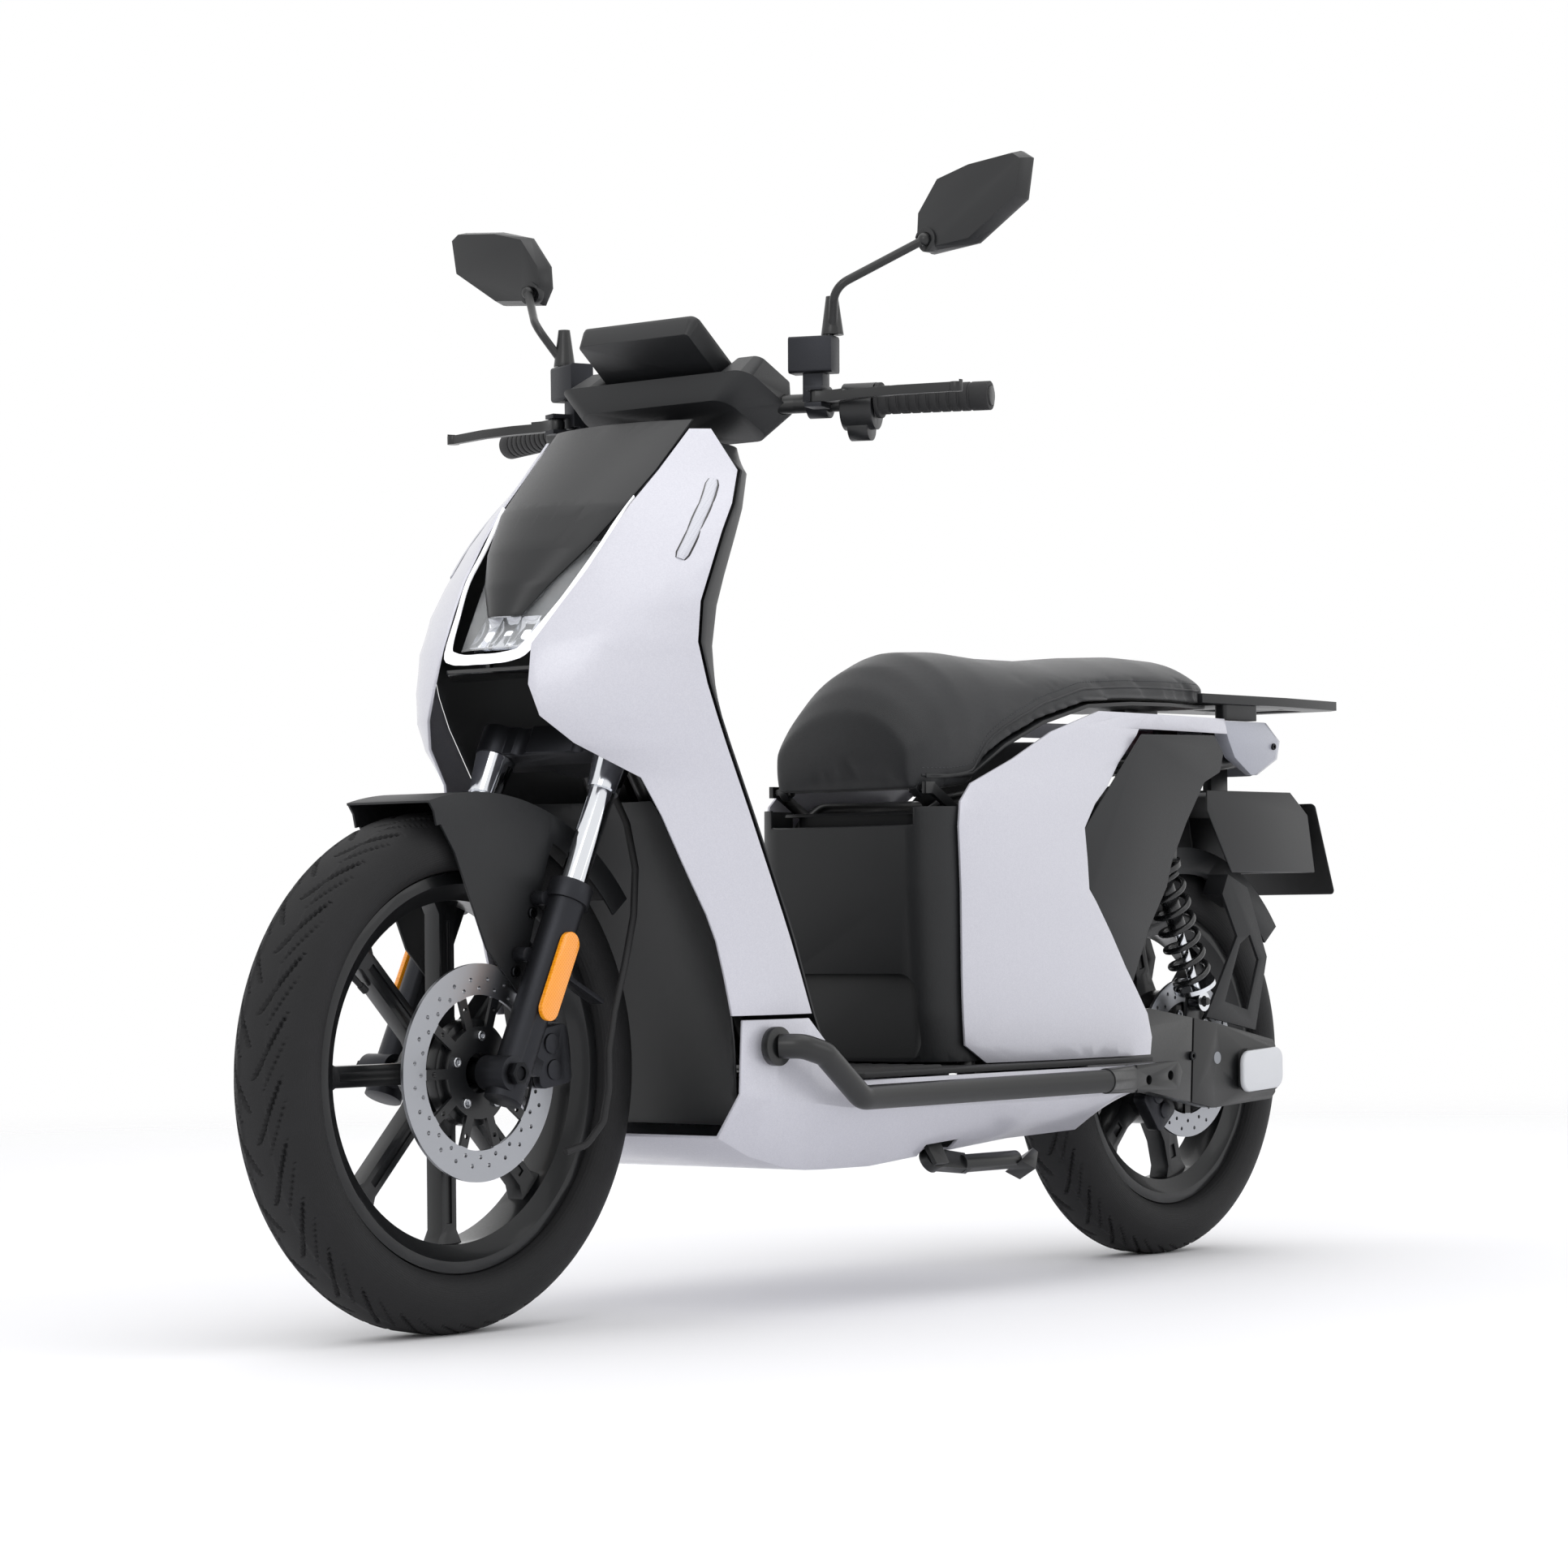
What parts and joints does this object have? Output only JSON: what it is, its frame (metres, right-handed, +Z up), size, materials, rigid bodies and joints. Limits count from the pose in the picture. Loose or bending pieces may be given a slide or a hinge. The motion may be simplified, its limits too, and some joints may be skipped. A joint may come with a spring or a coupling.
{
  "type": "moped scooter",
  "caption": "Step-through electric moped scooter with telescopic fork, hub-motor rear wheel, twin rear shocks, moulded body, seat over storage, flat rack and folding side stand.",
  "frame": {"origin": "centre of the bounding box's bottom face, on the floor under the tyres", "axes": "+X forward along the wheelbase, +Y to the rider's left, +Z up"},
  "size_m": [1.9732, 0.884, 1.303],
  "materials": {
    "frame_paint": "satin powder coat",
    "body_silver": "pearl paint on moulded panels",
    "tail_silver": "satin silver paint",
    "dark_plastic": "fine grained",
    "clear_lens": "clear polycarbonate",
    "light_guide": "diffusing",
    "red_lens": "red lens",
    "amber": "amber reflector",
    "cast_alloy": "satin cast",
    "dark_alloy": "satin black paint on cast alloy",
    "hard_chrome": "ground",
    "steel": "ground",
    "spring_black": "black enamel",
    "tread": "road tyre",
    "soft_rubber": "moulded",
    "seat_cover": "synthetic cover"
  },
  "bodies": {
    "chassis": {"main_frame": "frame_paint", "head_bearings": "steel", "front_shield_panels": "body_silver", "front_centre_panel": "dark_plastic", "nose_inner_panel": "dark_plastic", "headlight_lens": "clear_lens", "daytime_light": "light_guide", "inner_leg_shield": "dark_plastic", "lower_fairing": "dark_plastic", "lower_body_tub": "body_silver", "floorboard": "dark_plastic", "side_rails": "frame_paint", "underseat_body": "dark_plastic", "battery_pack": "dark_plastic", "rear_side_panels": "body_silver", "rear_inserts": "dark_plastic", "tail_housing": "tail_silver", "tail_lamp_lens": "red_lens", "luggage_rack": "dark_plastic", "rear_mudguard": "dark_plastic", "number_plate": "dark_plastic"},
    "steering": {"steering_stem": "frame_paint", "fork_stanchions": "hard_chrome", "handlebar": "dark_alloy", "bar_cover": "dark_plastic", "display_unit": "dark_plastic", "grip_left": "soft_rubber", "switch_housings": "dark_plastic", "brake_master_cylinders": "cast_alloy", "mirror_stems": "frame_paint"},
    "fork_lower": {"fork_sliders": "cast_alloy", "front_fender": "dark_plastic", "side_reflectors": "amber", "front_axle": "steel", "front_calliper": "cast_alloy", "front_brake_hose": "soft_rubber"},
    "front_wheel": {"front_rim": "dark_alloy", "front_tyre": "tread", "front_brake_disc": "steel", "front_wheel_bearings": "steel"},
    "swing": {"swingarm": "frame_paint", "rear_hugger": "dark_plastic", "hub_motor_stator": "cast_alloy", "rear_calliper": "cast_alloy"},
    "rear_wheel": {"rear_rim": "dark_alloy", "rear_tyre": "tread", "rear_brake_disc": "steel"},
    "shock_upper": {"shock_bodies": "frame_paint", "shock_springs": "spring_black"},
    "shock_lower": {"shock_rods": "hard_chrome"},
    "throttle": {"throttle_grip": "soft_rubber"},
    "lever_left": {"brake_lever_left": "dark_alloy"},
    "lever_right": {"brake_lever_right": "dark_alloy"},
    "horn_push": {"horn_button": "soft_rubber"},
    "start_push": {"start_button": "soft_rubber"},
    "mirror_left": {"mirror_head_left": "dark_plastic"},
    "mirror_right": {"mirror_head_right": "dark_plastic"},
    "seat": {"seat_pan": "dark_plastic", "seat_cushion": "seat_cover"},
    "stand": {"side_stand": "frame_paint"}
  },
  "joints": [
    {"name": "steering", "type": "hinge", "parent": "chassis", "child": "steering", "pos_m": [0.44163, 0, 0.73386], "axis": [-0.4431, 0, 0.8965], "range_deg": [-38, 38]},
    {"name": "fork_travel", "type": "slide", "parent": "steering", "child": "fork_lower", "axis": [-0.4431, 0, 0.8965], "range_m": [0, 0.07], "stiffness_N_per_m": 9000, "springref_m": -0.07, "deforming": ["front_brake_hose"]},
    {"name": "front_wheel_spin", "type": "hinge", "parent": "fork_lower", "child": "front_wheel", "pos_m": [0.7034, 0, 0.2832], "axis": [0, 1, 0], "continuous": true},
    {"name": "swingarm_pivot", "type": "hinge", "parent": "chassis", "child": "swing", "pos_m": [-0.3316, 0, 0.27], "axis": [0, 1, 0], "range_deg": [0, 12], "stiffness_Nm_per_rad": 1500, "springref_deg": -14.32},
    {"name": "rear_wheel_spin", "type": "hinge", "parent": "swing", "child": "rear_wheel", "pos_m": [-0.6416, 0, 0.2578], "axis": [0, 1, 0], "continuous": true},
    {"name": "shock_top_eye", "type": "hinge", "parent": "chassis", "child": "shock_upper", "pos_m": [-0.5216, 0, 0.53], "axis": [0, 1, 0], "range_deg": [0, 4]},
    {"name": "shock_stroke", "type": "slide", "parent": "shock_upper", "child": "shock_lower", "axis": [0.4399, 0, 0.898], "range_m": [0, 0.062], "deforming": ["shock_springs"]},
    {"name": "throttle_turn", "type": "hinge", "parent": "steering", "child": "throttle", "pos_m": [0.20679, -0.30711, 1.03459], "axis": [-0.339, -0.9407, -0.0085], "range_deg": [0, 70], "stiffness_Nm_per_rad": 0.3, "springref_deg": -20.05},
    {"name": "lever_left_pull", "type": "hinge", "parent": "steering", "child": "lever_left", "pos_m": [0.28559, 0.20051, 1.03566], "axis": [-0.0029, 0.008, 1], "range_deg": [0, 14], "stiffness_Nm_per_rad": 4, "springref_deg": -8.59},
    {"name": "lever_right_pull", "type": "hinge", "parent": "steering", "child": "lever_right", "pos_m": [0.28559, -0.20051, 1.03566], "axis": [0.0029, 0.008, -1], "range_deg": [0, 14], "stiffness_Nm_per_rad": 4, "springref_deg": -8.59},
    {"name": "horn_press", "type": "slide", "parent": "steering", "child": "horn_push", "axis": [0.9408, 0.339, 0], "range_m": [0, 0.0025], "stiffness_N_per_m": 800, "springref_m": -0.001},
    {"name": "start_press", "type": "slide", "parent": "steering", "child": "start_push", "axis": [0.9408, -0.339, 0], "range_m": [0, 0.0025], "stiffness_N_per_m": 800, "springref_m": -0.001},
    {"name": "mirror_left_turn", "type": "hinge", "parent": "steering", "child": "mirror_left", "pos_m": [0.2194, 0.306, 1.214], "axis": [0, 0, 1], "range_deg": [-15, 15]},
    {"name": "mirror_right_turn", "type": "hinge", "parent": "steering", "child": "mirror_right", "pos_m": [0.2194, -0.306, 1.214], "axis": [0, 0, 1], "range_deg": [-15, 15]},
    {"name": "seat_lift", "type": "hinge", "parent": "chassis", "child": "seat", "pos_m": [-0.0186, 0, 0.6], "axis": [0, 1, 0], "range_deg": [0, 75]},
    {"name": "stand_swing", "type": "hinge", "parent": "chassis", "child": "stand", "pos_m": [0.0084, 0.137, 0.158], "axis": [0, -0.866, -0.5], "range_deg": [0, 112]}
  ],
  "couplings": [
    {"joint": "shock_top_eye", "follows": "swingarm_pivot", "ratio": 0.26749},
    {"joint": "shock_stroke", "follows": "swingarm_pivot", "m_per_rad": 0.28923}
  ]
}
